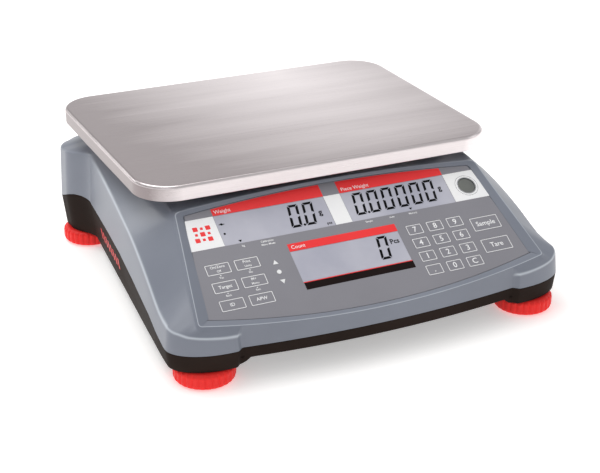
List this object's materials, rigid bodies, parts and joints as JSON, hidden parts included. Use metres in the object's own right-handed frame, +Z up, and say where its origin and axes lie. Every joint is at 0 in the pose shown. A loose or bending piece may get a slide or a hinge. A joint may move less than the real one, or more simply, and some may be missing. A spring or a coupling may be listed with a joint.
{
  "type": "counting scale",
  "caption": "Bench counting scale with a removable stainless pan on a load cell, a sloping panel of displays and keys, and levelling feet.",
  "frame": {"origin": "centre of the footprint, on the bench", "axes": "+Z up, +Y towards the back, so the control panel faces -Y; +X to the operator's right"},
  "size_m": [0.328, 0.324, 0.1184],
  "materials": {
    "stainless": "satin brushed",
    "cast_aluminium": "sandblasted casting",
    "machined_aluminium": "milled",
    "steel_screws": "zinc plated",
    "black_rubber": "matt",
    "housing_grey": "fine spark texture",
    "housing_black": "satin",
    "overlay_grey": "printed film",
    "key_film": "printed film",
    "lcd_glass": "polarised display glass",
    "vial_glass": "clear",
    "vial_holder": "satin",
    "light_guide": "translucent white",
    "green_board": "solder mask",
    "battery_case": "moulded",
    "zinc_strap": "zinc plated",
    "connector_black": "moulded",
    "connector_steel": "nickel plated",
    "brass": "turned",
    "red_plastic": "satin"
  },
  "bodies": {
    "base": {"load_cell": "machined_aluminium", "cell_lower_spacer": "machined_aluminium", "cell_lower_screws": "steel_screws", "overload_stops": "steel_screws", "base_frame": "cast_aluminium", "base_frame_screws": "steel_screws", "upper_housing": "housing_grey", "lower_housing": "housing_black", "housing_screws": "steel_screws", "dust_collar": "black_rubber", "control_overlay": "overlay_grey", "level_vial": "vial_glass", "level_cup": "vial_holder", "lcd_weight": "lcd_glass", "lcd_piece_weight": "lcd_glass", "lcd_count": "lcd_glass", "check_lights": "light_guide", "display_board": "green_board", "main_board": "green_board", "power_board": "green_board", "battery": "battery_case", "battery_bracket": "zinc_strap", "power_inlet": "connector_black", "serial_port": "connector_steel", "serial_jack_screws": "connector_steel", "foot_inserts": "brass"},
    "cell_platform": {"pan_support": "cast_aluminium", "pan_cushions": "black_rubber", "cell_upper_spacer": "machined_aluminium", "cell_upper_screws": "steel_screws"},
    "pan": {"weighing_pan": "stainless"},
    "transport_lock": {"transport_lock": "red_plastic"},
    "pad_front_left": {"foot_pad_front_left": "black_rubber"},
    "knob_front_left": {"foot_knob_front_left": "red_plastic"},
    "pad_front_right": {"foot_pad_front_right": "black_rubber"},
    "knob_front_right": {"foot_knob_front_right": "red_plastic"},
    "pad_rear_left": {"foot_pad_rear_left": "black_rubber"},
    "knob_rear_left": {"foot_knob_rear_left": "red_plastic"},
    "pad_rear_right": {"foot_pad_rear_right": "black_rubber"},
    "knob_rear_right": {"foot_knob_rear_right": "red_plastic"},
    "key_on_zero": {"key_on_zero": "key_film"},
    "key_print": {"key_print": "key_film"},
    "key_target": {"key_target": "key_film"},
    "key_memory": {"key_memory": "key_film"},
    "key_id": {"key_id": "key_film"},
    "key_unit_weight": {"key_unit_weight": "key_film"},
    "key_7": {"key_7": "key_film"},
    "key_8": {"key_8": "key_film"},
    "key_9": {"key_9": "key_film"},
    "key_4": {"key_4": "key_film"},
    "key_5": {"key_5": "key_film"},
    "key_6": {"key_6": "key_film"},
    "key_1": {"key_1": "key_film"},
    "key_2": {"key_2": "key_film"},
    "key_3": {"key_3": "key_film"},
    "key_point": {"key_point": "key_film"},
    "key_0": {"key_0": "key_film"},
    "key_clear": {"key_clear": "key_film"},
    "key_sample": {"key_sample": "key_film"},
    "key_tare": {"key_tare": "key_film"}
  },
  "joints": [
    {"name": "load_deflection", "type": "slide", "parent": "base", "child": "cell_platform", "axis": [0, 0, -1], "range_m": [0, 0.0005], "stiffness_N_per_m": 150000, "springref_m": -0.0001, "deforming": ["load_cell"]},
    {"name": "pan_lift", "type": "slide", "parent": "cell_platform", "child": "pan", "axis": [0, 0, 1], "range_m": [0, 0.03]},
    {"name": "transport_lock_turn", "type": "hinge", "parent": "base", "child": "transport_lock", "pos_m": [0.032, -0.066, 0.018], "axis": [0, 0, 1], "range_deg": [0, 90]},
    {"name": "foot_height_front_left", "type": "slide", "parent": "base", "child": "pad_front_left", "axis": [0, 0, -1], "range_m": [0, 0.0081]},
    {"name": "foot_turn_front_left", "type": "hinge", "parent": "pad_front_left", "child": "knob_front_left", "pos_m": [-0.1355, -0.1362, 0.006], "axis": [0, 0, -1], "range_deg": [0, 1920]},
    {"name": "foot_height_front_right", "type": "slide", "parent": "base", "child": "pad_front_right", "axis": [0, 0, -1], "range_m": [0, 0.0081]},
    {"name": "foot_turn_front_right", "type": "hinge", "parent": "pad_front_right", "child": "knob_front_right", "pos_m": [0.1355, -0.1362, 0.006], "axis": [0, 0, -1], "range_deg": [0, 1920]},
    {"name": "foot_height_rear_left", "type": "slide", "parent": "base", "child": "pad_rear_left", "axis": [0, 0, -1], "range_m": [0, 0.0081]},
    {"name": "foot_turn_rear_left", "type": "hinge", "parent": "pad_rear_left", "child": "knob_rear_left", "pos_m": [-0.1355, 0.1317, 0.006], "axis": [0, 0, -1], "range_deg": [0, 1920]},
    {"name": "foot_height_rear_right", "type": "slide", "parent": "base", "child": "pad_rear_right", "axis": [0, 0, -1], "range_m": [0, 0.0081]},
    {"name": "foot_turn_rear_right", "type": "hinge", "parent": "pad_rear_right", "child": "knob_rear_right", "pos_m": [0.1355, 0.1317, 0.006], "axis": [0, 0, -1], "range_deg": [0, 1920]},
    {"name": "press_on_zero", "type": "slide", "parent": "base", "child": "key_on_zero", "axis": [0, 0.5225, -0.8526], "range_m": [0, 0.0004], "stiffness_N_per_m": 2500, "springref_m": -0.0002},
    {"name": "press_print", "type": "slide", "parent": "base", "child": "key_print", "axis": [0, 0.5225, -0.8526], "range_m": [0, 0.0004], "stiffness_N_per_m": 2500, "springref_m": -0.0002},
    {"name": "press_target", "type": "slide", "parent": "base", "child": "key_target", "axis": [0, 0.5225, -0.8526], "range_m": [0, 0.0004], "stiffness_N_per_m": 2500, "springref_m": -0.0002},
    {"name": "press_memory", "type": "slide", "parent": "base", "child": "key_memory", "axis": [0, 0.5225, -0.8526], "range_m": [0, 0.0004], "stiffness_N_per_m": 2500, "springref_m": -0.0002},
    {"name": "press_id", "type": "slide", "parent": "base", "child": "key_id", "axis": [0, 0.5225, -0.8526], "range_m": [0, 0.0004], "stiffness_N_per_m": 2500, "springref_m": -0.0002},
    {"name": "press_unit_weight", "type": "slide", "parent": "base", "child": "key_unit_weight", "axis": [0, 0.5225, -0.8526], "range_m": [0, 0.0004], "stiffness_N_per_m": 2500, "springref_m": -0.0002},
    {"name": "press_7", "type": "slide", "parent": "base", "child": "key_7", "axis": [0, 0.5225, -0.8526], "range_m": [0, 0.0004], "stiffness_N_per_m": 2500, "springref_m": -0.0002},
    {"name": "press_8", "type": "slide", "parent": "base", "child": "key_8", "axis": [0, 0.5225, -0.8526], "range_m": [0, 0.0004], "stiffness_N_per_m": 2500, "springref_m": -0.0002},
    {"name": "press_9", "type": "slide", "parent": "base", "child": "key_9", "axis": [0, 0.5225, -0.8526], "range_m": [0, 0.0004], "stiffness_N_per_m": 2500, "springref_m": -0.0002},
    {"name": "press_4", "type": "slide", "parent": "base", "child": "key_4", "axis": [0, 0.5225, -0.8526], "range_m": [0, 0.0004], "stiffness_N_per_m": 2500, "springref_m": -0.0002},
    {"name": "press_5", "type": "slide", "parent": "base", "child": "key_5", "axis": [0, 0.5225, -0.8526], "range_m": [0, 0.0004], "stiffness_N_per_m": 2500, "springref_m": -0.0002},
    {"name": "press_6", "type": "slide", "parent": "base", "child": "key_6", "axis": [0, 0.5225, -0.8526], "range_m": [0, 0.0004], "stiffness_N_per_m": 2500, "springref_m": -0.0002},
    {"name": "press_1", "type": "slide", "parent": "base", "child": "key_1", "axis": [0, 0.5225, -0.8526], "range_m": [0, 0.0004], "stiffness_N_per_m": 2500, "springref_m": -0.0002},
    {"name": "press_2", "type": "slide", "parent": "base", "child": "key_2", "axis": [0, 0.5225, -0.8526], "range_m": [0, 0.0004], "stiffness_N_per_m": 2500, "springref_m": -0.0002},
    {"name": "press_3", "type": "slide", "parent": "base", "child": "key_3", "axis": [0, 0.5225, -0.8526], "range_m": [0, 0.0004], "stiffness_N_per_m": 2500, "springref_m": -0.0002},
    {"name": "press_point", "type": "slide", "parent": "base", "child": "key_point", "axis": [0, 0.5225, -0.8526], "range_m": [0, 0.0004], "stiffness_N_per_m": 2500, "springref_m": -0.0002},
    {"name": "press_0", "type": "slide", "parent": "base", "child": "key_0", "axis": [0, 0.5225, -0.8526], "range_m": [0, 0.0004], "stiffness_N_per_m": 2500, "springref_m": -0.0002},
    {"name": "press_clear", "type": "slide", "parent": "base", "child": "key_clear", "axis": [0, 0.5225, -0.8526], "range_m": [0, 0.0004], "stiffness_N_per_m": 2500, "springref_m": -0.0002},
    {"name": "press_sample", "type": "slide", "parent": "base", "child": "key_sample", "axis": [0, 0.5225, -0.8526], "range_m": [0, 0.0004], "stiffness_N_per_m": 2500, "springref_m": -0.0002},
    {"name": "press_tare", "type": "slide", "parent": "base", "child": "key_tare", "axis": [0, 0.5225, -0.8526], "range_m": [0, 0.0004], "stiffness_N_per_m": 2500, "springref_m": -0.0002}
  ],
  "couplings": [
    {"joint": "foot_height_front_left", "follows": "foot_turn_front_left", "m_per_rad": 0.00023873},
    {"joint": "foot_height_front_right", "follows": "foot_turn_front_right", "m_per_rad": 0.00023873},
    {"joint": "foot_height_rear_left", "follows": "foot_turn_rear_left", "m_per_rad": 0.00023873},
    {"joint": "foot_height_rear_right", "follows": "foot_turn_rear_right", "m_per_rad": 0.00023873}
  ]
}
